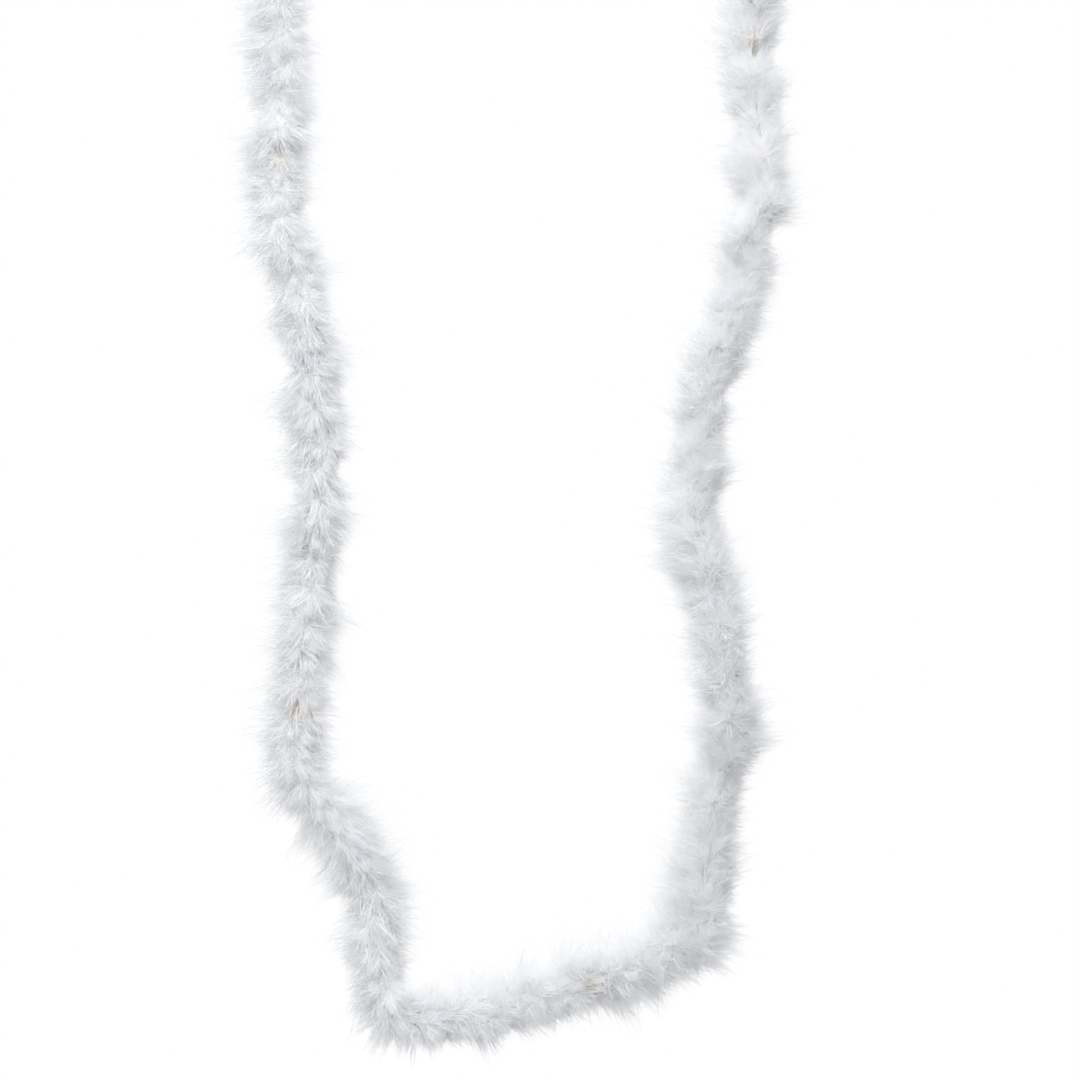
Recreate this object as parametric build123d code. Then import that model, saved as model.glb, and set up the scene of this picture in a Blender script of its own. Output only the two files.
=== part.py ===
from build123d import *
import math
import os

# A white marabou feather boa, hung up by the loops at its two ends so that it falls in a deep U.
# Millimetres. +X runs from the first hang loop to the second, +Z is up, and +Y goes to the back.
# The origin is where a hook bears inside the top of the first hang loop.

# ---- driving dimensions ----
CORE_D = 3.0             # the two-ply cotton core cord, bare
LOOP_CORD_D = 2.2        # the bare cord of a hang loop, and of the cut tail
LOOP_R = 6.5             # centre line of the round top of a hang loop
LEG_GAP = 0.3            # between the loop's two legs where they enter the knot
HOOK_SPAN = 312.0        # from one hang loop to the other
KNOT_TOP = -17.0
KNOT_BOTTOM = -26.0
KNOT_R = 3.0             # the knot between its three wraps
KNOT_WRAP_R = 1.5        # how far each wrap of the knot bulges
KNOT_GRIP = 2.0          # how far the loop's legs and the cut tail run into the knot
TAIL_LENGTH = 15.0       # the cut end of the cord beside the knot
CORE_TOP = -28.0         # the core's own free length starts here, just under the knot
WHIP_GAP = 1.5           # from the core's end to its thread whipping
WHIP_TURNS = 8
WHIP_FIT = 0.02          # between the whipping and the core, so that they don't overlap
THREAD_D = 0.9           # the whipping's thread, four strands laid side by side
PLUME_LEAN = 45.0        # degrees between a plume's quill and the core
QUILL_LENGTH = 33.0
QUILL_ROOT_R = 0.55
QUILL_TIP_R = 0.2
QUILL_SIDES = 8
QUILL_NIP = 0.9          # how far from the core's centre line a quill's root is nipped
VANE_START = 5.0         # the vane of down begins this far up its quill
VANE_END = 36.0
VANE_HALF_WIDTH = 7.5
VANE_THICKNESS = 1.4
PLUMES_PER_RING = 5
RINGS_PER_SECTION = 3
RING_TURN = 27.0         # degrees that each ring is turned on from the last, as the twist carries it
BARE_END = 14.0          # core at each end with no plume on it, for the whipping
CLEARANCE = 5.0          # nearest that two plumes' middles may lie
SECTIONS = [("left", 11), ("bottom", 4), ("right", 9)]

# The core's route, from the first knot down the left side, along the bottom and up the right side.
ROUTE = [
    (0, 0, CORE_TOP),
    (-1, 2, -78),
    (0, 4, -133),
    (3, 3, -190),
    (0, -1, -246),
    (4, -5, -298),
    (15, -6, -343),
    (23, -2, -396),
    (27, 4, -448),
    (24, 6, -502),
    (19, 3, -555),
    (13, -3, -602),
    (11, -6, -637),
    (25, -3, -668),
    (48, 3, -698),
    (64, 5, -732),
    (64, 1, -764),
    (67, -3, -788),
    (78, -4, -807),
    (101, -1, -812),
    (131, 3, -807),
    (165, 5, -795),
    (203, 2, -787),
    (240, -3, -774),
    (265, -5, -761),
    (281, -3, -742),
    (279, 1, -720),
    (281, 5, -694),
    (284, 5, -658),
    (295, 1, -626),
    (292, -4, -592),
    (286, -6, -552),
    (275, -2, -511),
    (270, 4, -468),
    (274, 6, -425),
    (282, 3, -385),
    (297, -3, -349),
    (305, -6, -308),
    (314, -3, -267),
    (312, 2, -224),
    (307, 5, -182),
    (311, 3, -136),
    (311, 1, -82),
    (HOOK_SPAN, 0, CORE_TOP),
]
ARC_SHARE = 0.45         # how much of the shorter run beside it each bend may take up


def bend_radii(points):
    """The radius at each inner point of a route: as large as the two runs beside it allow."""
    radii = []
    for before, here, after in zip(points, points[1:], points[2:]):
        run_in = Vector(*here) - Vector(*before)
        run_out = Vector(*after) - Vector(*here)
        half_turn = math.radians(run_in.get_angle(run_out)) / 2
        shorter = min(run_in.length, run_out.length)
        radii.append(ARC_SHARE * shorter / math.tan(half_turn))
    return radii


def save(name, solids):
    """Writes one sub-part: one solid, or a group of separate ones."""
    shape = solids[0] if len(solids) == 1 else Compound(children=solids)
    export_step(shape, f"parts/{name}.step")


def tube(path, diameter):
    """A round cord along a path of straight runs and tangent arcs."""
    start = Plane(origin=path @ 0, z_dir=path % 0)
    return sweep(start * Circle(diameter / 2), path=path).solid()


# ---- core cord ----
def core_path():
    radii = bend_radii(ROUTE)
    print("bend radii, mm:", [round(r) for r in radii])
    return FilletPolyline(*ROUTE, radius=radii)


def core_cord(path):
    cord = tube(path, CORE_D)
    section = math.pi * (CORE_D / 2) ** 2
    share = cord.volume / (section * path.length)
    print("core length, mm:", round(path.length), "volume over section times length:", round(share, 4))
    return cord


# ---- what finishes each end ----
def hang_loop(x):
    """The eye of the loop: a round top, and two straight legs that close up into the knot."""
    leg_x = LOOP_CORD_D / 2 + LEG_GAP / 2
    leg_z = KNOT_TOP - KNOT_GRIP
    centre_z = LOOP_CORD_D / 2 - LOOP_R
    reach = math.hypot(leg_x, leg_z - centre_z)
    swing = math.atan2(leg_z - centre_z, leg_x) + math.acos(LOOP_R / reach)
    touch_x = LOOP_R * math.cos(swing)
    touch_z = centre_z + LOOP_R * math.sin(swing)
    top = (x, 0, centre_z + LOOP_R)
    leg_up = Line((x + leg_x, 0, leg_z), (x + touch_x, 0, touch_z))
    crown = ThreePointArc((x + touch_x, 0, touch_z), top, (x - touch_x, 0, touch_z))
    leg_down = Line((x - touch_x, 0, touch_z), (x - leg_x, 0, leg_z))
    return tube(Wire([leg_up, crown, leg_down]), LOOP_CORD_D)


def end_knot(x):
    """The knot's body: three wraps of cord pulled down hard on each other."""
    wrap_height = (KNOT_TOP - KNOT_BOTTOM) / 3
    lines = [Line((0, 0, KNOT_BOTTOM), (KNOT_R, 0, KNOT_BOTTOM))]
    for wrap in range(3):
        low = KNOT_BOTTOM + wrap * wrap_height
        middle = (KNOT_R + KNOT_WRAP_R, 0, low + wrap_height / 2)
        lines.append(ThreePointArc((KNOT_R, 0, low), middle, (KNOT_R, 0, low + wrap_height)))
    lines.append(Line((KNOT_R, 0, KNOT_TOP), (0, 0, KNOT_TOP)))
    lines.append(Line((0, 0, KNOT_TOP), (0, 0, KNOT_BOTTOM)))
    return Pos(x, 0, 0) * revolve(make_face(lines), Axis.Z).solid()


def cut_tail(x, side):
    """The cord's cut end: it leaves the knot sideways, droops, and is a little wider where it frays."""
    start_x = KNOT_R + KNOT_WRAP_R - KNOT_GRIP
    z = (KNOT_TOP + KNOT_BOTTOM) / 2
    points = [
        (x + side * start_x, 0, z),
        (x + side * (start_x + TAIL_LENGTH * 0.45), 0, z - 1),
        (x + side * (start_x + TAIL_LENGTH * 0.75), 0, z - 5),
    ]
    path = FilletPolyline(*points, radius=bend_radii(points))
    cord = tube(path, LOOP_CORD_D)
    frayed = Plane(origin=path @ 1, z_dir=path % 1) * Cone(
        LOOP_CORD_D / 2, LOOP_CORD_D * 0.85, TAIL_LENGTH / 4, align=(Align.CENTER, Align.CENTER, Align.MIN)
    )
    return (cord + frayed).solid()


def thread_whipping(path, station, direction):
    """Turns of thread round the core, side by side, fused into one ribbed sleeve along the core."""
    inner = CORE_D / 2 + WHIP_FIT
    outer = inner + THREAD_D / 2
    length = WHIP_TURNS * THREAD_D
    lines = [Line((inner, 0, length), (inner, 0, 0)), Line((inner, 0, 0), (outer, 0, 0))]
    for turn in range(WHIP_TURNS):
        low = turn * THREAD_D
        crest = (outer + THREAD_D / 2, 0, low + THREAD_D / 2)
        lines.append(ThreePointArc((outer, 0, low), crest, (outer, 0, low + THREAD_D)))
    lines.append(Line((outer, 0, length), (inner, 0, length)))
    sleeve = revolve(make_face(lines), Axis.Z)
    share = station / path.length
    return (Plane(origin=path @ share, z_dir=(path % share) * direction) * sleeve).solid()


# ---- plumes ----
def vane(length_share):
    """A plume's fan of down, as a plain leaf: it lies along +X, across Y, and is thin in Z."""
    end = VANE_START + (VANE_END - VANE_START) * length_share
    middle = (VANE_START + end) / 2
    half_width = VANE_HALF_WIDTH * math.sqrt(length_share)
    edge_a = ThreePointArc((VANE_START, 0), (middle, half_width), (end, 0))
    edge_b = ThreePointArc((end, 0), (middle, -half_width), (VANE_START, 0))
    leaf = extrude(make_face([edge_a, edge_b]), VANE_THICKNESS)
    return Pos(0, 0, QUILL_ROOT_R) * leaf.solid()


def quill(length_share):
    """A plume's quill: a thin tapered eight-sided shaft along +X, under its vane."""
    length = QUILL_LENGTH * length_share
    taper = math.degrees(math.atan2(QUILL_ROOT_R - QUILL_TIP_R, length))
    shaft = extrude(RegularPolygon(QUILL_ROOT_R, QUILL_SIDES), length, taper=taper)
    return (Rot(0, 90, 0) * shaft).solid()


def plume_plane(path, station, angle):
    """Where a plume stands: X up its quill, Z out of its vane. Its root is nipped in the core."""
    along = path % (station / path.length)
    side = along.cross(Vector(0, 1, 0)).normalized()
    back = side.cross(along)
    outward = side * math.cos(angle) + back * math.sin(angle)
    lean = math.radians(PLUME_LEAN)
    up_quill = along * math.cos(lean) + outward * math.sin(lean)
    off_vane = along * math.sin(lean) - outward * math.cos(lean)
    return Plane(origin=(path @ (station / path.length)) + outward * QUILL_NIP, x_dir=up_quill, z_dir=off_vane)


def plume_middle(plane, length_share):
    """Points spread over a plume, which stand for it when the room between plumes is tested."""
    end = VANE_START + (VANE_END - VANE_START) * length_share
    points = []
    for step in range(5):
        along = VANE_START + (end - VANE_START) * step / 4
        half_width = VANE_HALF_WIDTH * (1 - abs(step - 2) / 2)
        for across in (-half_width, 0, half_width):
            points.append(tuple(plane.from_local_coords((along, across, QUILL_ROOT_R))))
    return points


def is_clear(points, others):
    return all(math.dist(a, b) > CLEARANCE for a in points for other in others for b in other)


def section_plumes(path, core_points, first_ring, spacing, placed):
    """One section's vanes and quills. Inside a bend a plume is shortened until it is clear, or left out."""
    vanes, quills = [], []
    for ring in range(first_ring, first_ring + RINGS_PER_SECTION):
        station = BARE_END + spacing * (ring + 0.25)
        core_ahead = [p for s, p in core_points if VANE_END * 0.8 < s - station < VANE_END * 4]
        ring_points = []
        for number in range(PLUMES_PER_RING):
            angle = math.radians(RING_TURN * ring + 360 * number / PLUMES_PER_RING)
            plane = plume_plane(path, station, angle)
            for length_share in (1.0, 0.8, 0.6, 0.45):
                points = plume_middle(plane, length_share)
                if is_clear(points, placed) and is_clear(points, [core_ahead]):
                    vanes.append(plane.location * vane(length_share))
                    quills.append(plane.location * quill(length_share))
                    ring_points.append(points)
                    break
        placed.extend(ring_points)
        del placed[:-8 * PLUMES_PER_RING]
    return vanes, quills


def all_plumes(path):
    """Every section's plumes, named by the side that they hang on and counted along the core."""
    count = sum(number for _, number in SECTIONS)
    spacing = (path.length - 2 * BARE_END - VANE_END / 2) / (count * RINGS_PER_SECTION)
    core_points = [(s, tuple(path @ (s / path.length))) for s in range(0, int(path.length), 3)]
    placed, ring = [], 0
    for side, number in SECTIONS:
        for section in range(1, number + 1):
            vanes, quills = section_plumes(path, core_points, ring, spacing, placed)
            save(f"plumes_{side}_{section:02d}", vanes)
            save(f"quills_{side}_{section:02d}", quills)
            print(side, section, "plumes:", len(vanes))
            ring += RINGS_PER_SECTION


os.makedirs("parts", exist_ok=True)
route = core_path()
save("core_cord", [core_cord(route)])
for place, x, side in (("left", 0, -1), ("right", HOOK_SPAN, 1)):
    save(f"hang_loop_{place}", [hang_loop(x)])
    save(f"end_knot_{place}", [end_knot(x)])
    save(f"cut_tail_{place}", [cut_tail(x, side)])
save("thread_whipping_left", [thread_whipping(route, WHIP_GAP, 1)])
save("thread_whipping_right", [thread_whipping(route, route.length - WHIP_GAP, -1)])
all_plumes(route)
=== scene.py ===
import math

import bpy
import numpy as np
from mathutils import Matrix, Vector

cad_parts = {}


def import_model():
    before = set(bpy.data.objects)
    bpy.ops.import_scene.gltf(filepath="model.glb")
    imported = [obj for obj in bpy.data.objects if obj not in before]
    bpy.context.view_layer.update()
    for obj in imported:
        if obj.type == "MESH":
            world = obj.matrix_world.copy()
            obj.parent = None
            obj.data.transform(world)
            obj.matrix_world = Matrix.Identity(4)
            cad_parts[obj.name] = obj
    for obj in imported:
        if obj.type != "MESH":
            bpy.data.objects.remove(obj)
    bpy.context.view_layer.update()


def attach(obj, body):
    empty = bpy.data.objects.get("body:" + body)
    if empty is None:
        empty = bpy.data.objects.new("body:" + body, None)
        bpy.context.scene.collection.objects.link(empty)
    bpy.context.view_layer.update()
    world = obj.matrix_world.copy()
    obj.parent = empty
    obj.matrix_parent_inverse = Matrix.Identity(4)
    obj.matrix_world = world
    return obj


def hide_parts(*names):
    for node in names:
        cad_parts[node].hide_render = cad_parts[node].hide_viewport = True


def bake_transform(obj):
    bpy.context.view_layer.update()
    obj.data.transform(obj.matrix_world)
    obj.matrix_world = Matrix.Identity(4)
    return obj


# A white marabou feather boa hung up by the loops at its ends. Metres, +Z up, seen along +Y.
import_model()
HELD, HANGING = "held_ends", "hanging_boa"

# ---- the core cord's route, from the left knot down, along the bottom and up to the right knot ----
HOOK_SPAN = 0.312
KNOT_TOP, KNOT_BOTTOM = -0.017, -0.026
ROUTE = [
    (0, 0, -0.0255),
    (-0.001, 0.002, -0.078),
    (0, 0.004, -0.133),
    (0.003, 0.003, -0.190),
    (0, -0.001, -0.246),
    (0.004, -0.005, -0.298),
    (0.015, -0.006, -0.343),
    (0.023, -0.002, -0.396),
    (0.027, 0.004, -0.448),
    (0.024, 0.006, -0.502),
    (0.019, 0.003, -0.555),
    (0.013, -0.003, -0.602),
    (0.011, -0.006, -0.637),
    (0.025, -0.003, -0.668),
    (0.048, 0.003, -0.698),
    (0.064, 0.005, -0.732),
    (0.064, 0.001, -0.764),
    (0.067, -0.003, -0.788),
    (0.078, -0.004, -0.807),
    (0.101, -0.001, -0.812),
    (0.131, 0.003, -0.807),
    (0.165, 0.005, -0.795),
    (0.203, 0.002, -0.787),
    (0.240, -0.003, -0.774),
    (0.265, -0.005, -0.761),
    (0.281, -0.003, -0.742),
    (0.279, 0.001, -0.720),
    (0.281, 0.005, -0.694),
    (0.284, 0.005, -0.658),
    (0.295, 0.001, -0.626),
    (0.292, -0.004, -0.592),
    (0.286, -0.006, -0.552),
    (0.275, -0.002, -0.511),
    (0.270, 0.004, -0.468),
    (0.274, 0.006, -0.425),
    (0.282, 0.003, -0.385),
    (0.297, -0.003, -0.349),
    (0.305, -0.006, -0.308),
    (0.314, -0.003, -0.267),
    (0.312, 0.002, -0.224),
    (0.307, 0.005, -0.182),
    (0.311, 0.003, -0.136),
    (0.311, 0.001, -0.082),
    (HOOK_SPAN, 0, -0.0255),
]


# ---- camera: straight on, as far back as a long lens needs ----
LENS_MM, SENSOR_MM = 100.0, 36.0
VIEW_WIDTH = 0.702
VIEW_CENTRE = (0.170, -0.497)


def make_camera():
    data = bpy.data.cameras.new("camera")
    data.lens = LENS_MM
    data.sensor_width = SENSOR_MM
    camera = bpy.data.objects.new("camera", data)
    distance = VIEW_WIDTH * LENS_MM / SENSOR_MM
    camera.location = (VIEW_CENTRE[0], -distance, VIEW_CENTRE[1])
    camera.rotation_euler = (math.pi / 2, 0, 0)
    bpy.context.collection.objects.link(camera)
    bpy.context.scene.camera = camera


make_camera()


# ---- paths ----
def nurbs_line(points):
    """Points along the smooth NURBS line that has these control points."""
    data = bpy.data.curves.new("line", "CURVE")
    data.dimensions = "3D"
    data.resolution_u = 24
    spline = data.splines.new("NURBS")
    spline.points.add(len(points) - 1)
    for point, place in zip(spline.points, points):
        point.co = (*place, 1)
    spline.order_u = 3
    spline.use_endpoint_u = True
    holder = bpy.data.objects.new("line", data)
    mesh = bpy.data.meshes.new_from_object(holder)
    line = np.array([v.co for v in mesh.vertices])
    bpy.data.objects.remove(holder)
    bpy.data.curves.remove(data)
    bpy.data.meshes.remove(mesh)
    return line


def unit(v):
    return v / np.maximum(np.linalg.norm(v, axis=-1, keepdims=True), 1e-12)


STEP = 0.0008  # between the points of a path, and of a rope


class Path:
    """A line by arc length, with a frame at each point: along it, and two directions across it."""

    def __init__(self, points, step=STEP):
        points = np.asarray(points, float)
        lengths = np.r_[0, np.cumsum(np.linalg.norm(np.diff(points, axis=0), axis=1))]
        self.length = lengths[-1]
        count = max(8, int(self.length / step))
        self.s = np.linspace(0, self.length, count)
        self.points = np.stack([np.interp(self.s, lengths, points[:, i]) for i in range(3)], axis=1)
        self.along = unit(np.gradient(self.points, axis=0))
        self.side = np.empty_like(self.points)
        side = unit(np.cross(self.along[0], (0, 1, 0)))
        for i, along in enumerate(self.along):
            side = unit(side - along * (side @ along))
            self.side[i] = side
        self.back = np.cross(self.side, self.along)

    def at(self, s):
        """Place and frame at each of these arc lengths."""
        def read(rows):
            return np.stack([np.interp(s, self.s, rows[:, i]) for i in range(3)], axis=-1)
        return read(self.points), unit(read(self.along)), unit(read(self.side)), unit(read(self.back))


def new_object(name, vertices, faces_4, faces_3):
    """A smooth-shaded object from numpy arrays of vertices, four-sided faces and three-sided faces."""
    faces_4 = np.asarray(faces_4, np.int32).reshape(-1, 4)
    faces_3 = np.asarray(faces_3, np.int32).reshape(-1, 3)
    mesh = bpy.data.meshes.new(name)
    mesh.vertices.add(len(vertices))
    mesh.vertices.foreach_set("co", np.asarray(vertices, np.float32).ravel())
    corners = np.concatenate([faces_4.ravel(), faces_3.ravel()])
    mesh.loops.add(len(corners))
    mesh.loops.foreach_set("vertex_index", corners)
    starts = np.r_[np.arange(len(faces_4)) * 4, len(faces_4) * 4 + np.arange(len(faces_3)) * 3]
    mesh.polygons.add(len(starts))
    mesh.polygons.foreach_set("loop_start", starts.astype(np.int32))
    mesh.update(calc_edges=True)
    mesh.polygons.foreach_set("use_smooth", np.ones(len(starts), bool))
    mesh.validate()
    obj = bpy.data.objects.new(name, mesh)
    bpy.context.collection.objects.link(obj)
    return obj


def swept_tubes(name, lines, radii, sides):
    """Round tubes along lines: an array (tubes, points, 3), with a radius for each point of each.
    The UV map "grain" runs from 0 to 1 along each tube, and from 0 to 1 round it."""
    lines = np.asarray(lines, float)
    tubes, count, _ = lines.shape
    radii = np.broadcast_to(radii, (tubes, count))
    along = unit(np.gradient(lines, axis=1))
    side = np.empty_like(lines)
    upright = np.abs(along[:, 0, 1:2]) < 0.9
    side[:, 0] = unit(np.cross(along[:, 0], np.where(upright, [[0.0, 1.0, 0.0]], [[1.0, 0.0, 0.0]])))
    for i in range(1, count):
        carried = side[:, i - 1]
        side[:, i] = unit(carried - along[:, i] * np.sum(carried * along[:, i], axis=-1, keepdims=True))
    back = np.cross(side, along)
    turn = np.arange(sides) * 2 * math.pi / sides
    ring = side[:, :, None] * np.cos(turn)[:, None] + back[:, :, None] * np.sin(turn)[:, None]
    vertices = lines[:, :, None] + ring * radii[:, :, None, None]
    first = (np.arange(tubes) * count * sides)[:, None, None]
    row = first + (np.arange(count - 1) * sides)[None, :, None]
    here = row + np.arange(sides)
    after = row + (np.arange(sides) + 1) % sides
    walls = np.stack([here, here + sides, after + sides, after], axis=-1)
    start = first[:, 0] + np.arange(sides)
    end = start + (count - 1) * sides
    caps = []
    for k in range(1, sides - 1):
        caps.append(np.stack([start[:, 0], start[:, k], start[:, k + 1]], axis=-1))
        caps.append(np.stack([end[:, 0], end[:, k + 1], end[:, k]], axis=-1))
    obj = new_object(name, vertices.reshape(-1, 3), walls, np.concatenate(caps))
    uv = np.zeros((len(obj.data.loops), 2), np.float32)
    grown = np.broadcast_to(np.linspace(0, 1, count)[None, :-1, None], here.shape)
    round_it = np.broadcast_to(np.arange(sides) / sides, here.shape)
    step_u, step_v = 1 / (count - 1), 1 / sides
    u = np.stack([grown, grown + step_u, grown + step_u, grown], axis=-1)
    v = np.stack([round_it, round_it, round_it + step_v, round_it + step_v], axis=-1)
    uv[:walls.size, 0], uv[:walls.size, 1] = u.ravel(), v.ravel()
    obj.data.uv_layers.new(name="grain").data.foreach_set("uv", uv.ravel())
    return obj


PLIES, PLY_SHARE = 2, 0.26  # a ply's radius is this share of the rope's diameter, so the plies press together


def rope(name, path, diameter, pitch, step=STEP, sides=10):
    """A laid rope: its plies wind round each other along the path."""
    ply_radius = diameter * PLY_SHARE
    s = np.linspace(0, path.length, int(path.length / step))
    place, _, side, back = path.at(s)
    lines = []
    for ply in range(PLIES):
        turn = (2 * math.pi * (s / pitch + ply / PLIES))[:, None]
        lines.append(place + (side * np.cos(turn) + back * np.sin(turn)) * (diameter / 2 - ply_radius))
    return swept_tubes(name, lines, ply_radius, sides)


# ---- materials ----
class Nodes:
    """A short way to lay out a material's nodes."""

    def __init__(self, name):
        self.material = bpy.data.materials.new(name)
        self.material.use_nodes = True
        self.tree = self.material.node_tree
        self.tree.nodes.clear()
        self.output = self.add("ShaderNodeOutputMaterial")

    def add(self, kind, inputs=None, **settings):
        node = self.tree.nodes.new(kind)
        for key, value in settings.items():
            setattr(node, key, value)
        for key, value in (inputs or {}).items():
            if isinstance(value, bpy.types.NodeSocket):
                self.tree.links.new(value, node.inputs[key])
            else:
                node.inputs[key].default_value = value
        return node

    def ramp(self, factor, *stops):
        node = self.add("ShaderNodeValToRGB", {"Fac": factor})
        while len(node.color_ramp.elements) < len(stops):
            node.color_ramp.elements.new(0.5)
        for element, (place, colour) in zip(node.color_ramp.elements, stops):
            element.position = place
            element.color = (*colour, 1)
        return node.outputs["Color"]

    def noise(self, vector, scale, detail=3.0, roughness=0.5):
        return self.add("ShaderNodeTexNoise", {
            "Vector": vector, "Scale": scale, "Detail": detail, "Roughness": roughness}).outputs["Fac"]

    def mapped(self, vector, scale):
        return self.add("ShaderNodeMapping", {"Vector": vector, "Scale": scale}).outputs["Vector"]

    def math(self, operation, a, b):
        return self.add("ShaderNodeMath", {0: a, 1: b}, operation=operation).outputs["Value"]

    def mix(self, factor, a, b, blend="MIX"):
        node = self.add("ShaderNodeMix", data_type="RGBA", blend_type=blend)
        for place, value in ((0, factor), (6, a), (7, b)):
            if isinstance(value, bpy.types.NodeSocket):
                self.tree.links.new(value, node.inputs[place])
            else:
                node.inputs[place].default_value = value
        return node.outputs[2]

    def bump(self, height, distance, strength=1.0):
        return self.add("ShaderNodeBump", {
            "Height": height, "Distance": distance, "Strength": strength}).outputs["Normal"]

    def finish(self, shader):
        self.tree.links.new(shader, self.output.inputs["Surface"])
        return self.material


def down_material():
    """White marabou: cool white at the tips and a little warmer at the roots, and light comes through."""
    n = Nodes("marabou_down")
    barb = n.add("ShaderNodeUVMap", uv_map="barb").outputs["UV"]
    split = n.add("ShaderNodeSeparateXYZ", {"Vector": barb})
    place = n.add("ShaderNodeTexCoord").outputs["Object"]
    grown = n.ramp(split.outputs["X"],
                   (0.0, (0.90, 0.88, 0.85)), (0.2, (0.955, 0.955, 0.95)), (1.0, (0.975, 0.985, 0.995)))
    each = n.ramp(
        split.outputs["Y"], (0.0, (0.97, 0.965, 0.96)), (0.5, (0.99, 0.99, 0.99)), (1.0, (1.0, 1.0, 1.0))
    )
    cloud = n.ramp(n.noise(place, 26.0, 3.0), (0.25, (0.975, 0.98, 0.985)), (0.7, (1.0, 1.0, 1.0)))
    colour = n.mix(1.0, n.mix(1.0, grown, each, "MULTIPLY"), cloud, "MULTIPLY")
    barbules = n.noise(n.mapped(barb, (60.0, 9.0, 1.0)), 6.0, 2.0)
    normal = n.bump(barbules, 0.00006, 0.5)
    body = n.add("ShaderNodeBsdfPrincipled", {
        "Base Color": colour, "Roughness": 0.72, "Specular IOR Level": 0.25,
        "Sheen Weight": 0.15, "Sheen Roughness": 0.5, "Normal": normal})
    through = n.add("ShaderNodeBsdfTranslucent", {"Color": colour, "Normal": normal})
    both = n.add("ShaderNodeMixShader", {0: 0.5, 1: body.outputs[0], 2: through.outputs[0]})
    return n.finish(both.outputs[0])


def quill_material(name, butt, middle, pale_at):
    """Horn: coloured at the butt, paling to white this far up the shaft, with fine streaks along it."""
    n = Nodes(name)
    grain = n.add("ShaderNodeUVMap", uv_map="grain").outputs["UV"]
    grown = n.add("ShaderNodeSeparateXYZ", {"Vector": grain}).outputs["X"]
    streaks = n.noise(n.mapped(grain, (5.0, 14.0, 1.0)), 3.0, 4.0)
    horn = n.ramp(grown, (0.0, butt), (0.45 * pale_at, middle),
                  (pale_at, (0.88, 0.84, 0.77)), (1.0, (0.96, 0.96, 0.95)))
    shade = n.ramp(streaks, (0.3, (0.84, 0.80, 0.74)), (0.7, (1.0, 1.0, 1.0)))
    body = n.add("ShaderNodeBsdfPrincipled", {
        "Base Color": n.mix(1.0, horn, shade, "MULTIPLY"), "Roughness": 0.38,
        "Specular IOR Level": 0.5, "Normal": n.bump(streaks, 0.00008, 0.6)})
    return n.finish(body.outputs[0])


CORE_TWISTS, LOOP_TWISTS, FIBRES_ROUND = 900.0, 30.0, 7


def cotton_material(turns):
    """Off-white cotton yarn. Its fibres wind this many times round each ply, and a few stand proud of it."""
    n = Nodes("cotton_cord")
    grain = n.add("ShaderNodeUVMap", uv_map="grain").outputs["UV"]
    place = n.add("ShaderNodeTexCoord").outputs["Object"]
    split = n.add("ShaderNodeSeparateXYZ", {"Vector": grain})
    slant = n.math("ADD", n.math("MULTIPLY", split.outputs["X"], turns), split.outputs["Y"])
    fibres = n.math("SINE", n.math("MULTIPLY", slant, 2 * math.pi * FIBRES_ROUND), 0.0)
    fuzz = n.noise(place, 2400.0, 4.0, 0.7)
    height = n.math("ADD", n.math("MULTIPLY", fibres, 0.5), fuzz)
    colour = n.ramp(n.noise(place, 700.0, 4.0), (0.3, (0.70, 0.665, 0.60)), (0.75, (0.86, 0.84, 0.79)))
    body = n.add("ShaderNodeBsdfPrincipled", {
        "Base Color": colour, "Roughness": 0.9, "Specular IOR Level": 0.2,
        "Sheen Weight": 0.35, "Sheen Roughness": 0.4, "Normal": n.bump(height, 0.00012, 0.8)})
    return n.finish(body.outputs[0])


THREAD_TWISTS = 900.0


def thread_material():
    """Whipping thread: smooth white polyester with a fine twist and a soft shine."""
    n = Nodes("whipping_thread")
    grain = n.add("ShaderNodeUVMap", uv_map="grain").outputs["UV"]
    split = n.add("ShaderNodeSeparateXYZ", {"Vector": grain})
    length = n.math("MULTIPLY", split.outputs["X"], THREAD_TWISTS)
    slant = n.math("ADD", length, n.math("MULTIPLY", split.outputs["Y"], 2.0))
    twist = n.math("SINE", n.math("MULTIPLY", slant, 2 * math.pi), 0.0)
    place = n.add("ShaderNodeTexCoord").outputs["Object"]
    colour = n.ramp(n.noise(place, 1500.0), (0.3, (0.80, 0.80, 0.79)), (0.7, (0.90, 0.90, 0.90)))
    body = n.add("ShaderNodeBsdfPrincipled", {
        "Base Color": colour, "Roughness": 0.42, "Specular IOR Level": 0.45,
        "Sheen Weight": 0.2, "Normal": n.bump(twist, 0.00003, 0.7)})
    return n.finish(body.outputs[0])


DOWN = down_material()
QUILL = quill_material("quill_horn", (0.50, 0.36, 0.22), (0.68, 0.55, 0.40), 0.3)
BARE_QUILL = quill_material("bare_quill_horn", (0.72, 0.62, 0.46), (0.84, 0.77, 0.63), 0.95)
CORE_COTTON, LOOP_COTTON = cotton_material(CORE_TWISTS), cotton_material(LOOP_TWISTS)
THREAD = thread_material()


def dress(obj, material, slot, body, *replaced):
    """Gives a piece its material, hides the CAD nodes it stands for, and lets it ride."""
    obj.data.materials.append(material)
    if replaced:
        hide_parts(*replaced)
    if body:
        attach(obj, body)
    return obj


# ---- the core cord ----
CORE_D = 0.003
CORE_PITCH = 0.009

core_line = nurbs_line(ROUTE)
core_path = Path(core_line)
core = rope("core_rope", core_path, CORE_D, CORE_PITCH)
dress(core, CORE_COTTON, "cotton_cord", None, "core_cord")
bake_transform(core)


# ---- thread whippings: two layers of turns at each end of the core ----
WHIP_START, WHIP_LENGTH = 0.004, 0.0072
THREAD_D = 0.00045
LAYER_OUT, STEPS_PER_TURN = (0.6, 1.45), 20  # the middle of each layer, in thread diameters off the core


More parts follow.
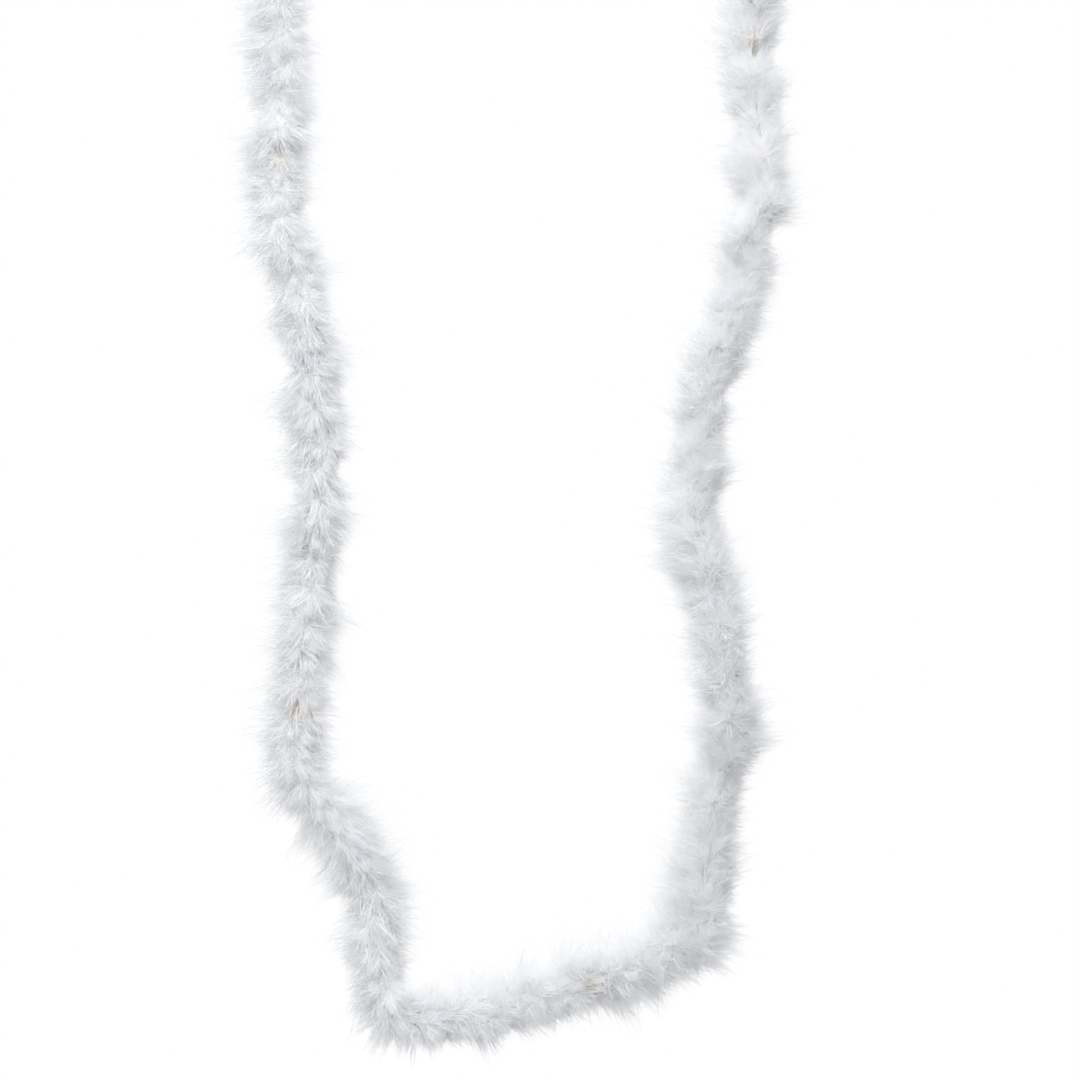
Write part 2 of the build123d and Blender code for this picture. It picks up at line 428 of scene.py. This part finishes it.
def whipping(side, from_start):
    """One thread that winds along the core and then back over itself."""
    turns = WHIP_LENGTH / THREAD_D
    t = np.linspace(0, 2, int(2 * turns * STEPS_PER_TURN))
    out = np.where(t < 1, CORE_D / 2 + THREAD_D * LAYER_OUT[0], CORE_D / 2 + THREAD_D * LAYER_OUT[1])
    up = np.where(t < 1, t, 2 - t) * (WHIP_LENGTH - THREAD_D) + THREAD_D / 2
    s = WHIP_START + up if from_start else core_path.length - WHIP_START - up
    place, _, across, back = core_path.at(s)
    turn = (2 * math.pi * turns * t)[:, None]
    line = place + (across * np.cos(turn) + back * np.sin(turn)) * out[:, None]
    obj = swept_tubes("whipping_" + side, [line], THREAD_D / 2, 6)
    return dress(obj, THREAD, "whipping_thread", HANGING, "thread_whipping_" + side)


whippings = [whipping("left", True), whipping("right", False)]


# ---- the ends: hang loops, barrel knots and cut tails ----
LOOP_CORD_D, LOOP_PITCH = 0.0022, 0.0068
LOOP_R = 0.0065
LEG_GAP = 0.0003
TUCK_IN = 0.002  # how far the loop's legs and the tail go into the knot
KNOT_R = 0.003
KNOT_WRAPS, DIVE = 3, 0.45  # at each end the cord dives into the barrel over this share of a turn
KNOT_TILT = 0.12
TAIL_LENGTH = 0.015
TAIL_DROOP = [(0.25, 0.0001), (0.5, 0.0014), (0.72, 0.0046)]  # how far it hangs, by share of its length
FRAYED, FRAY_FROM, FIBRE_R, FIBRE_LENGTH = 90, 0.0012, 0.00006, (0.0032, 0.0058)
FINE_PATH, FINE_STEP, ROUND = 0.0003, 0.0004, 12  # a small rope's steps, and the sides of its plies
ENDS = [("left", 0.0, -1), ("right", HOOK_SPAN, 1)]


def hang_loop(side, x):
    """Up one leg, round the eye and down the other leg, into the knot."""
    leg_x = LOOP_CORD_D / 2 + LEG_GAP / 2
    leg_z = KNOT_TOP - TUCK_IN
    eye_z = LOOP_CORD_D / 2 - LOOP_R
    reach = math.hypot(leg_x, leg_z - eye_z)
    turn = math.atan2(leg_z - eye_z, leg_x) + math.acos(LOOP_R / reach)
    angles = np.linspace(turn, math.pi - turn, 60)
    eye = np.stack([x + LOOP_R * np.cos(angles), 0 * angles, eye_z + LOOP_R * np.sin(angles)], axis=1)
    line = np.concatenate([[(x + leg_x, 0, leg_z)], eye, [(x - leg_x, 0, leg_z)]])
    path = Path(line, step=FINE_PATH)
    obj = rope("loop_rope_" + side, path, LOOP_CORD_D, LOOP_PITCH, FINE_STEP, sides=ROUND)
    return dress(obj, LOOP_COTTON, "cotton_cord", HELD, "hang_loop_" + side)


def end_knot(side, x, way):
    """A barrel knot: the cord turns three times round itself, and both its ends tuck into the barrel."""
    t = np.linspace(-DIVE, KNOT_WRAPS + DIVE, 260)
    wound = np.clip(np.minimum(t + DIVE, KNOT_WRAPS + DIVE - t) / DIVE, 0, 1)
    out = KNOT_R * (0.25 + 0.75 * wound * wound * (3 - 2 * wound))
    angle = 2 * math.pi * t * way
    pitch = (KNOT_TOP - KNOT_BOTTOM) / KNOT_WRAPS
    z = KNOT_TOP - pitch * (np.clip(t, 0, KNOT_WRAPS) * (KNOT_WRAPS - 1) / KNOT_WRAPS + 0.5)
    tilt = KNOT_TILT * out * np.cos(angle + 0.6)
    line = np.stack([x + out * np.cos(angle), out * np.sin(angle), z + tilt], axis=1)
    obj = rope("knot_wraps_" + side, Path(line, step=FINE_PATH), CORE_D, CORE_PITCH, FINE_STEP, sides=ROUND)
    return dress(obj, LOOP_COTTON, "cotton_cord", HELD, "end_knot_" + side)


def cut_tail(side, x, way, rng):
    """The cord's cut end: it droops beside the knot, and its fibres splay where they are cut."""
    start = KNOT_R + CORE_D / 2 - TUCK_IN
    z = (KNOT_TOP + KNOT_BOTTOM) / 2
    points = [(x + way * start, 0, z)]
    points += [(x + way * (start + TAIL_LENGTH * share), 0, z - droop) for share, droop in TAIL_DROOP]
    path = Path(nurbs_line(points), step=FINE_PATH)
    obj = rope("tail_rope_" + side, path, LOOP_CORD_D, LOOP_PITCH, FINE_STEP, sides=ROUND)
    dress(obj, LOOP_COTTON, "cotton_cord", HELD, "cut_tail_" + side)
    place, along, across, back = path.at(np.full(FRAYED, path.length - FRAY_FROM))
    u = np.linspace(0, 1, 8)[None, :, None]
    turn = rng.uniform(0, 2 * math.pi, (FRAYED, 1))
    far = np.sqrt(rng.random((FRAYED, 1)))
    outward = across * np.cos(turn) + back * np.sin(turn)
    length = rng.uniform(*FIBRE_LENGTH, (FRAYED, 1, 1))
    root = place + outward * far * LOOP_CORD_D * 0.45
    splay = outward[:, None] * far[:, None] * (0.15 + 0.55 * u) + rng.normal(0, 0.10, (FRAYED, 1, 3)) * u
    lines = root[:, None] + (along[:, None] + splay) * length * u
    fringe = swept_tubes("tail_fibres_" + side, lines, FIBRE_R * (1 - 0.6 * u[0, :, 0]), 4)
    return dress(fringe, LOOP_COTTON, "cotton_cord", HELD)


end_rng = np.random.default_rng(5)
for side, x, way in ENDS:
    hang_loop(side, x)
    end_knot(side, x, way)
    cut_tail(side, x, way, end_rng)


# ---- the plumes, in the sections that the CAD model has ----
SECTIONS = [("left", 11), ("bottom", 4), ("right", 9)]
BARE_END, PLUME_REACH = 0.0165, 0.009
RINGS_PER_SECTION, PLUMES_PER_RING = 3, 5
RING_TURN = math.radians(27)
STAGGER = (0.0, 0.36, -0.20, 0.20, -0.36)

# Each plume of the CAD model stands for a bunch of smaller ones.
BUNCH, BUNCH_SPREAD = 3, 0.4
STATION_UNEVEN, SIZE_UNEVEN = 0.003, 0.07
FIRST_RING = 0.25  # in ring spacings past the bare end
PLUME_MIDDLE = 0.010  # how far along the core from its root a plume's middle lies

SHAFT_LENGTH, SHAFT_STEPS = 0.021, 12
LEAN_ROOT, LEAN_TIP, LEAN_UNEVEN = math.radians(66), math.radians(38), 0.16
SWIRL, SWIRL_UNEVEN = 0.5, 0.25
SHAFT_ROOT_R, SHAFT_TIP_R = 0.00028, 0.00004
BUTT = 0.0035  # the end of each quill that lies between the core's plies

# A plume's barbs: most are soft and low on the shaft, and the rest fringe it. Where they grow is a share of
# the shaft. Their roll round it is in radians, and their spread off it, at its root and its tip, in degrees.
BARBS = 480
SOFT, SOFT_UP_TO, SOFT_ROLL, SOFT_SPREAD = 0.8, 0.75, 1.3, (84, 60)
FRINGE_FROM, FRINGE_ROLL, FRINGE_SPREAD = 0.15, 0.7, (66, 40)
WISPS, WISP_WIDE = 0.13, 1.9
BARB_LENGTH, BARB_WIDTH = 0.020, 0.00017
WIDTH_UNEVEN, SHADE_UNEVEN, FACING_UNEVEN = (0.75, 1.25), 0.22, 0.3

# A barb has a cut at each of these shares of its length, and its width there is a share of its full width.
BARB_CUTS = np.array([0.0, 0.25, 0.5, 0.76, 1.0])
BARB_TAPER = np.array([0.8, 1.0, 0.95, 0.72, 0.0])

# Barbs cling together in locks, each of which has a reach and a direction of its own.
LOCKS = BARBS // 12
LOCK_UNEVEN, LOCK_PULL = 0.06, 0.22

# How far barbs reach, as shares of the outline, and how much one may be shortened or drawn out to do so.
BARB_REACH, STRAY_REACH = (0.56, 1.06), (1.08, 1.46)
SHORTEST, LONGEST = 0.4, 1.6

# Neighbouring tips gather into pointed tufts.
TUFT_ALONG, TUFT_AROUND = 0.0105, 10
TUFT_RISE, TUFT_UNEVEN = 0.18, 0.12
TUFT_SLOPE_AT = 0.42
TUFT_PULL, TUFT_SWEEP, TUFT_BEND = 0.5, 0.0025, 1.6
STRAY_CURL = 0.0009
LONGEST_REACH, FRONT_REACH = 0.043, 0.0415

# The boa's outline. Angles round the core: 0 is the inside of the U, 180 the outside, -90 the front.
DOWN_RADIUS = 0.0263
UNEVEN_DEPTH = 0.12
LOPSIDED, LOW_POINT, LOW_BEND = 0.09, 0.76, 0.03
PINCH_BEFORE, PINCH_AFTER, PINCH_AROUND = 0.0065, 0.013, math.radians(58)
PINCHES = [  # where one tier of down ends and the next begins: metres along the core, degrees, depth
    (0.105, 0, 0.35), (0.190, 180, 0.50), (0.222, -90, 0.22), (0.257, 0, 0.55), (0.302, 180, 0.42),
    (0.338, 180, 0.28), (0.355, 180, 0.58), (0.377, 0, 0.25), (0.426, 0, 0.50), (0.438, 180, 0.52),
    (0.477, 0, 0.35), (0.497, 0, 0.45), (0.545, 180, 0.18), (0.581, -90, 0.20), (0.632, 0, 0.34),
    (0.647, 180, 0.38), (0.714, 180, 0.40), (0.745, 0, 0.12), (0.764, 180, 0.25), (0.776, 0, 0.40),
    (0.802, 0, 0.34), (0.810, 180, 0.30), (0.826, 0, 0.25), (0.832, 180, 0.38), (0.868, 180, 0.25),
    (0.878, 0, 0.28), (0.908, 180, 0.22), (0.924, -90, 0.20), (1.030, 180, 0.36), (1.080, 180, 0.32),
    (1.114, 180, 0.28), (1.120, 0, 0.24), (1.162, 0, 0.22), (1.175, 180, 0.40), (1.215, 0, 0.18),
    (1.240, 0, 0.28), (1.280, 180, 0.34), (1.310, 0, 0.18), (1.335, 0, 0.42), (1.336, 180, 0.28),
    (1.360, 0, 0.22), (1.368, 180, 0.62), (1.412, 0, 0.40), (1.438, 0, 0.46), (1.472, 180, 0.58),
    (1.490, 0, 0.46), (1.522, 180, 0.35), (1.547, 0, 0.52), (1.556, 180, 0.35), (1.588, 180, 0.50),
    (1.594, -90, 0.20), (1.660, 0, 0.35),
]
SWELLS = [  # where a tier stands out further than the rest
    (0.142, 180, 0.30), (0.174, 0, 0.30), (0.207, 180, 0.52), (0.270, 180, 0.36), (0.290, 0, 0.18),
    (0.346, 0, 0.32), (0.375, 180, 0.46), (0.391, 0, 0.24), (0.452, 0, 0.28), (0.465, 180, 0.20),
    (0.518, 0, 0.20), (0.528, 180, 0.15), (0.562, 0, 0.18), (0.577, 180, 0.30), (0.608, 0, 0.15),
    (0.628, 180, 0.20), (0.656, 0, 0.48), (0.676, 0, 0.22), (0.699, 0, 0.42), (0.720, 0, 0.40),
    (0.742, 180, 0.36), (0.791, 180, 0.32), (0.882, 180, 0.28), (0.912, 0, 0.42), (0.946, 180, 0.28),
    (1.000, 0, 0.40), (1.006, 180, 0.62), (1.018, 0, 0.45), (1.038, 0, 0.42), (1.060, 0, 0.25),
    (1.095, 0, 0.20), (1.141, 180, 0.58), (1.241, 180, 0.32), (1.260, 0, 0.26), (1.282, 0, 0.26),
    (1.312, 180, 0.28), (1.422, 0, 0.15), (1.464, 0, 0.24), (1.492, 180, 0.42), (1.520, 0, 0.48),
    (1.568, 180, 0.16),
]

# Where bare quill butts show through the front, and the barbs that are parted and cut short over them.
BARE_BUTTS = [0.222, 0.581, 0.924, 1.594]
BUTTS_IN_EACH, BUTT_STEPS, BUTT_LENGTH, BUTT_RADII = 10, 8, (0.017, 0.023), (0.00048, 0.00030)
PARTED_R, PARTED_FROM, PARTED_LENGTH = 0.0030, 0.004, 0.62


def fullness(s, angle):
    """How far the down reaches here, about 1, by arc length and by angle round the core."""
    uneven = 0.4 * np.sin(s * 121 + 1.3 + angle) + 0.35 * np.sin(s * 267 + 0.4 - 2 * angle)
    uneven += 0.35 * np.sin(s * 433 + 3 * angle + 2.1) * np.sin(s * 83 + angle)
    full = 1 + UNEVEN_DEPTH * uneven
    full *= 1 - LOPSIDED * (1 + np.cos(angle) * np.tanh((LOW_POINT - s) / LOW_BEND))
    for place, degrees, depth in PINCHES + [(place, degrees, -out) for place, degrees, out in SWELLS]:
        along = s - place
        along = along / np.where(along < 0, PINCH_BEFORE, PINCH_AFTER)
        turn = np.abs((angle - math.radians(degrees) + math.pi) % (2 * math.pi) - math.pi) / PINCH_AROUND
        full = full * (1 - depth * np.exp(-along ** 2 - turn ** 2))
    return full


def shafts(rng, stations, angles, sizes):
    """Each plume's shaft: it leaves the core steeply, and bends over to lean along it."""
    plumes = len(stations)
    place, along, side, back = core_path.at(stations)
    u = np.linspace(0, 1, SHAFT_STEPS)
    lean = LEAN_ROOT + rng.normal(0, LEAN_UNEVEN, (plumes, 1)) + (LEAN_TIP - LEAN_ROOT) * u
    turned = angles[:, None] + (SWIRL + rng.normal(0, SWIRL_UNEVEN, (plumes, 1))) * u
    outward = side[:, None] * np.cos(turned)[..., None] + back[:, None] * np.sin(turned)[..., None]
    heading = along[:, None] * np.cos(lean)[..., None] + outward * np.sin(lean)[..., None]
    moves = heading[:, :-1] * (sizes * SHAFT_LENGTH / (SHAFT_STEPS - 1))[:, None, None]
    root = place + outward[:, 0] * CORE_D * 0.3
    return np.concatenate([root[:, None], root[:, None] + np.cumsum(moves, axis=1)], axis=1)


NEARBY, AT_A_TIME = 0.05, 4000


def round_the_core(places):
    """For each place: its arc length along the core, and its distance from it and angle round it."""
    points, s = core_path.points[::4], core_path.s[::4]
    low, high = places.min(0) - NEARBY, places.max(0) + NEARBY
    near = ((points > low) & (points < high)).all(1)
    points, s = points[near], s[near]
    nearest = np.empty(len(places), int)
    for first in range(0, len(places), AT_A_TIME):
        part = places[first:first + AT_A_TIME]
        nearest[first:first + AT_A_TIME] = ((part[:, None] - points) ** 2).sum(-1).argmin(1)
    place, _, side, back = core_path.at(s[nearest])
    off = places - place
    return s[nearest], np.linalg.norm(off, axis=1), np.arctan2((off * back).sum(1), (off * side).sum(1))


def place_tufts():
    """Where the tufts are: arc length and angle round the core of each, and how far it stands out."""
    rng = np.random.default_rng(77)
    rows = np.arange(int(core_path.length / TUFT_ALONG))
    row, turn = np.meshgrid(rows, np.arange(TUFT_AROUND), indexing="ij")
    s = (row + rng.uniform(0.05, 0.95, row.shape)) * TUFT_ALONG
    angle = (turn + 0.5 * (row % 2) + rng.uniform(-0.4, 0.4, row.shape)) * 2 * math.pi / TUFT_AROUND
    return s.ravel(), angle.ravel(), rng.normal(0, TUFT_UNEVEN, row.size)


TUFTS = place_tufts()


def nearest_tuft(s, angle):
    """For each place: how far along and round its tuft is, how far off in tuft widths, and its size."""
    near = np.abs(TUFTS[0] - np.median(s)) < np.abs(s - np.median(s)).max() + 0.02
    tuft_s, tuft_angle, tuft_size = (values[near] for values in TUFTS)
    along = tuft_s - s[:, None]
    around = (tuft_angle - angle[:, None] + math.pi) % (2 * math.pi) - math.pi
    off = np.hypot(along / TUFT_ALONG, around * TUFT_AROUND / (2 * math.pi))
    pick = off.argmin(1)[:, None]
    read = [np.take_along_axis(values, pick, 1)[:, 0] for values in (along, around, off)]
    return *read, tuft_size[pick[:, 0]]


def barb_lines(rng, shaft, sizes):
    """The barbs of a section's plumes as lines of points, and which of them are long wisps.
    The soft ones grow low on the shaft and stand out from it all round, and the rest fringe its sides."""
    shape = (len(shaft), BARBS)
    rows = np.arange(len(shaft))[:, None]
    soft = rng.random(shape) < SOFT
    wisp = rng.random(shape) < WISPS
    low_down, anywhere = SOFT_UP_TO * rng.random(shape), rng.random(shape)
    u = np.where(soft, low_down, FRINGE_FROM + (1 - FRINGE_FROM) * anywhere)
    where = u * (SHAFT_STEPS - 1)
    low = np.minimum(where.astype(int), SHAFT_STEPS - 2)
    heading = shaft[rows, low + 1] - shaft[rows, low]
    root = shaft[rows, low] + heading * (where - low)[..., None]
    heading = unit(heading)
    bend = unit(shaft[:, -1] - 2 * shaft[:, SHAFT_STEPS // 2] + shaft[:, 0])[:, None]
    across = unit(np.cross(heading, np.broadcast_to(bend, heading.shape)))
    flat = np.cross(across, heading)
    roll = np.where(soft, SOFT_ROLL, FRINGE_ROLL) * rng.normal(size=shape)
    roll += math.pi * (rng.random(shape) < 0.5)
    spread = np.where(soft, np.interp(u, (0, 1), SOFT_SPREAD), np.interp(u, (0, 1), FRINGE_SPREAD))
    spread = np.radians(spread) + rng.normal(0, 0.25, shape)
    sideways = across * np.cos(roll)[..., None] + flat * np.sin(roll)[..., None]
    begins = heading * np.cos(spread)[..., None] + sideways * np.sin(spread)[..., None]
    quarter = (roll / (math.pi / 2)).astype(int) % 4
    lock = np.minimum((u * LOCKS / 4).astype(int) * 4 + quarter, LOCKS - 1)
    pull = rng.normal(0, LOCK_PULL, (len(shaft), LOCKS, 3))[rows, lock]
    begins = unit(begins + 0.5 * pull + rng.normal(0, 0.10, (*shape, 3)))
    chord = unit(shaft[:, -1] - shaft[:, 0])[:, None]
    ends = begins * 0.7 + heading * 0.2 + chord * 0.35 + pull + rng.normal(0, 0.22, (*shape, 3))
    ends = unit(ends)
    ends[..., 2] -= 0.10
    length = BARB_LENGTH * (0.75 + 0.3 * np.sin(math.pi * u)) * rng.uniform(0.65, 1.15, shape)
    length *= sizes[:, None]
    lock_size = rng.normal(1, LOCK_UNEVEN, (len(shaft), LOCKS))[rows, lock].ravel()
    root, begins, ends = (a.reshape(-1, 1, 3) for a in (root, begins, ends))
    v = BARB_CUTS[None, :, None]
    bow = (begins * (v - v ** 2 / 2) + ends * v ** 2 / 2) * length.reshape(-1, 1, 1)
    stray = wisp.ravel()
    lines = fitted_to_outline(rng, root, bow, lock_size, stray)
    return parted_for_butts(rng, root, lines), stray


def fitted_to_outline(rng, root, bow, lock_size, stray):
    """Barbs lengthened or shortened so that they end near the boa's outline, and gathered into tufts."""
    v = BARB_CUTS[None, :, None]
    s, out, angle = round_the_core((root + bow)[:, -1])
    along, around, off, tuft_size = nearest_tuft(s, angle)
    edge = DOWN_RADIUS * fullness(s, angle) * lock_size
    edge *= 1 + tuft_size + TUFT_RISE * (TUFT_SLOPE_AT - off)
    edge *= np.where(stray, rng.uniform(*STRAY_REACH, len(s)), rng.uniform(*BARB_REACH, len(s)))
    edge = np.minimum(edge, LONGEST_REACH)
    lines = root + bow * np.clip(edge / out, SHORTEST, LONGEST)[:, None, None]
    pull = TUFT_PULL * rng.random(len(s))
    place, forward, side, back = core_path.at(s + along * pull)
    turned = (angle + around * pull)[:, None]
    reach = np.minimum(edge, out * LONGEST)[:, None]
    tip = place + (side * np.cos(turned) + back * np.sin(turned)) * reach + forward * TUFT_SWEEP
    lines += (tip - lines[:, -1])[:, None] * v ** TUFT_BEND
    curl = rng.normal(0, STRAY_CURL, (len(s), 1, 3)) * stray[:, None, None]
    lines += curl * np.sin(1.5 * math.pi * v)
    over = np.abs(lines[..., 1]).max(axis=1) / FRONT_REACH
    lines[..., 1] /= np.maximum(over, 1)[:, None]
    return lines


def parted_for_butts(rng, root, lines):
    """The same barbs, with those that would hide a bunch of bare butts from the front cut short."""
    place, _, _, back = core_path.at(np.array(BARE_BUTTS))
    for butts, front in zip(place, -back):
        ahead = (lines - butts) @ front
        aside = np.linalg.norm(lines - butts - ahead[..., None] * front, axis=2)
        width = PARTED_R * rng.uniform(0.6, 1.2, len(lines))[:, None]
        parted = ((aside < width) & (ahead > PARTED_FROM)).any(axis=1)
        lines[parted] = (root + (lines - root) * PARTED_LENGTH)[parted]
    return lines


def ribbons(name, rng, lines, widths, shade):
    """Thin flat barbs tapered to a point, as one mesh, turned to face out from the core.
    The UV map "barb" holds how far along its barb a place is, and the barb's own shade."""
    total = len(lines)
    along = unit(np.gradient(lines, axis=1))
    s, _, angle = round_the_core(lines[:, 2])
    _, _, side, back = core_path.at(s)
    outward = side * np.cos(angle)[:, None] + back * np.sin(angle)[:, None]
    facing = unit(outward + rng.normal(0, FACING_UNEVEN, (total, 3)))
    half = unit(np.cross(along, facing[:, None])) * (widths[:, None] * BARB_TAPER / 2)[..., None]
    pairs = np.stack([lines + half, lines - half], axis=2)[:, :-1].reshape(total, -1, 3)
    vertices = np.concatenate([pairs, lines[:, -1:]], axis=1)
    each = vertices.shape[1]
    base = (np.arange(total) * each)[:, None]
    quads = np.concatenate([base + np.array([[k, k + 1, k + 3, k + 2]]) for k in range(0, each - 3, 2)])
    obj = new_object(name, vertices.reshape(-1, 3), quads, base + np.array([[each - 3, each - 2, each - 1]]))
    uv = np.empty((total, each, 2), np.float32)
    uv[..., 0] = np.concatenate([np.repeat(BARB_CUTS[:-1], 2), [1.0]])
    uv[..., 1] = shade[:, None]
    corners = np.empty(len(obj.data.loops), np.int32)
    obj.data.loops.foreach_get("vertex_index", corners)
    obj.data.uv_layers.new(name="barb").data.foreach_set("uv", uv.reshape(-1, 2)[corners].ravel())
    return obj


def section(group, number, first_ring, spacing):
    """One section's plumes: its shafts are one piece, and its down is another."""
    rng = np.random.default_rng(1000 + first_ring)
    ring = first_ring + np.repeat(np.arange(RINGS_PER_SECTION), PLUMES_PER_RING * BUNCH)
    each = np.tile(np.repeat(np.arange(PLUMES_PER_RING), BUNCH), RINGS_PER_SECTION)
    plumes = len(ring)
    stations = BARE_END + spacing * (ring + FIRST_RING + np.array(STAGGER)[each])
    stations += rng.normal(0, STATION_UNEVEN, plumes)
    angles = ring * RING_TURN + each * 2 * math.pi / PLUMES_PER_RING + rng.normal(0, BUNCH_SPREAD, plumes)
    sizes = fullness(stations + PLUME_MIDDLE, angles + SWIRL / 2) * rng.normal(1, SIZE_UNEVEN, plumes)
    shaft = shafts(rng, stations, angles, sizes)
    name = f"{group}_{number:02d}"
    first_step = unit(shaft[:, 1] - shaft[:, 0])
    whole = np.concatenate([(shaft[:, 0] - first_step * BUTT)[:, None], shaft], axis=1)
    radii = np.linspace(SHAFT_ROOT_R, SHAFT_TIP_R, SHAFT_STEPS + 1)
    stems = swept_tubes("shafts_" + name, whole, radii, 6)
    dress(stems, QUILL, "quill", HANGING, "quills_" + name)
    lines, wisp = barb_lines(rng, shaft, sizes)
    widths = BARB_WIDTH * rng.uniform(*WIDTH_UNEVEN, len(lines)) * np.where(wisp, WISP_WIDE, 1.0)
    shade = np.clip(0.5 + SHADE_UNEVEN * rng.normal(size=len(lines)), 0, 1)
    fluff = ribbons("down_" + name, rng, lines, widths, shade)
    dress(fluff, DOWN, "marabou_down", HANGING, "plumes_" + name)


def bare_butts(number, station):
    """A few quill butts that the twist has left showing through the front of the down."""
    rng = np.random.default_rng(40 + number)
    place, along, side, back = core_path.at(station + rng.normal(0, 0.0018, BUTTS_IN_EACH))
    turn = math.radians(-90) + rng.normal(0, 0.42, BUTTS_IN_EACH)
    outward = side * np.cos(turn)[:, None] + back * np.sin(turn)[:, None]
    u = np.linspace(0, 1, BUTT_STEPS)[None, :, None]
    heading = along[:, None] * (0.35 + 0.9 * u) + outward[:, None] * (1.2 - 0.6 * u)
    length = rng.uniform(*BUTT_LENGTH, (BUTTS_IN_EACH, 1, 1))
    lines = place[:, None] + np.cumsum(unit(heading) * length / BUTT_STEPS, axis=1)
    radii = np.linspace(*BUTT_RADII, BUTT_STEPS)
    obj = swept_tubes(f"bare_butts_{number}", lines, radii, 7)
    dress(obj, BARE_QUILL, "quill", HANGING)


for number, station in enumerate(BARE_BUTTS, 1):
    bare_butts(number, station)

rings = RINGS_PER_SECTION * sum(count for _, count in SECTIONS)
ring_spacing = (core_path.length - 2 * BARE_END - PLUME_REACH) / rings
next_ring = 0
for group, count in SECTIONS:
    for number in range(1, count + 1):
        section(group, number, next_ring, ring_spacing)
        next_ring += RINGS_PER_SECTION


# ---- studio ----
FLOOR_Z, FLOOR_R, FLOOR_GLOW = -1.35, 2.6, 0.15
FADE_FROM, FADE_TO = 0.5, 1.9  # the floor turns from pale to white between these distances
LIT_FROM = (-0.42, -0.45, 0.80)
LIGHT_LEAST, LIGHT_MOST = 0.0, 1.11
COOL = (0.975, 0.974, 1.0)


def floor():
    """A pale floor that brightens to plain white towards its edge, and lights the boa only a little."""
    bpy.ops.mesh.primitive_circle_add(vertices=128, radius=FLOOR_R, fill_type="NGON",
                                      location=(HOOK_SPAN / 2, 0, FLOOR_Z))
    obj = bpy.context.object
    obj.name = "floor"
    n = Nodes("floor")
    place = n.add("ShaderNodeTexCoord").outputs["Object"]
    far = n.add("ShaderNodeVectorMath", {0: place}, operation="LENGTH").outputs["Value"]
    share = n.add("ShaderNodeMapRange", {"Value": far, "From Min": FADE_FROM, "From Max": FADE_TO},
                  interpolation_type="SMOOTHSTEP").outputs["Result"]
    grain = n.ramp(n.noise(place, 40.0), (0.3, (0.66, 0.66, 0.66)), (0.7, (0.69, 0.69, 0.69)))
    pale = n.add("ShaderNodeBsdfDiffuse", {"Color": grain})
    seen = n.add("ShaderNodeLightPath").outputs["Is Camera Ray"]
    glow = n.add("ShaderNodeMapRange", {"Value": seen, "To Min": FLOOR_GLOW, "To Max": 1.0}).outputs["Result"]
    white = n.add("ShaderNodeEmission", {"Color": (1, 1, 1, 1), "Strength": glow})
    both = n.add("ShaderNodeMixShader", {0: share, 1: pale.outputs[0], 2: white.outputs[0]})
    obj.data.materials.append(n.finish(both.outputs[0]))


def world():
    """A white backdrop. The light from it is cool, and strongest from above, in front and a little left."""
    studio = bpy.data.worlds.new("studio")
    studio.use_nodes = True
    tree = studio.node_tree
    tree.nodes.clear()
    direction = tree.nodes.new("ShaderNodeTexCoord")
    facing = tree.nodes.new("ShaderNodeVectorMath")
    facing.operation = "DOT_PRODUCT"
    facing.inputs[1].default_value = Vector(LIT_FROM).normalized()
    light = tree.nodes.new("ShaderNodeMapRange")
    light.inputs["From Min"].default_value = -1
    light.inputs["To Min"].default_value = LIGHT_LEAST
    light.inputs["To Max"].default_value = LIGHT_MOST
    lamp = tree.nodes.new("ShaderNodeBackground")
    lamp.inputs["Color"].default_value = (*COOL, 1)
    backdrop = tree.nodes.new("ShaderNodeBackground")
    backdrop.inputs["Color"].default_value = (1, 1, 1, 1)
    ray = tree.nodes.new("ShaderNodeLightPath")
    either = tree.nodes.new("ShaderNodeMixShader")
    output = tree.nodes.new("ShaderNodeOutputWorld")
    for start, end in (
        (direction.outputs["Generated"], facing.inputs[0]),
        (facing.outputs["Value"], light.inputs["Value"]),
        (light.outputs["Result"], lamp.inputs["Strength"]),
        (ray.outputs["Is Camera Ray"], either.inputs[0]),
        (lamp.outputs[0], either.inputs[1]),
        (backdrop.outputs[0], either.inputs[2]),
        (either.outputs[0], output.inputs["Surface"]),
    ):
        tree.links.new(start, end)
    bpy.context.scene.world = studio


def soft_light(name, place, size, power):
    """A round, faintly cool lamp aimed at the middle of the boa."""
    data = bpy.data.lights.new(name, "AREA")
    data.shape = "DISK"
    data.size = size
    data.energy = power
    data.color = COOL
    obj = bpy.data.objects.new(name, data)
    obj.location = place
    aim = Vector((HOOK_SPAN / 2, 0, VIEW_CENTRE[1])) - obj.location
    obj.rotation_euler = aim.to_track_quat("-Z", "Y").to_euler()
    bpy.context.collection.objects.link(obj)


floor()
world()
soft_light("key", (0.10, -0.9, 0.1), 1.3, 12.7)
soft_light("back_right", (0.95, 1.3, 0.6), 1.3, 7.5)
soft_light("back_left", (-0.65, 1.3, 0.6), 1.3, 5.0)

scene = bpy.context.scene
scene.view_settings.view_transform = "Standard"
scene.cycles.max_bounces = 24
scene.cycles.diffuse_bounces = 16
scene.cycles.transmission_bounces = 16
scene.cycles.use_denoising = True
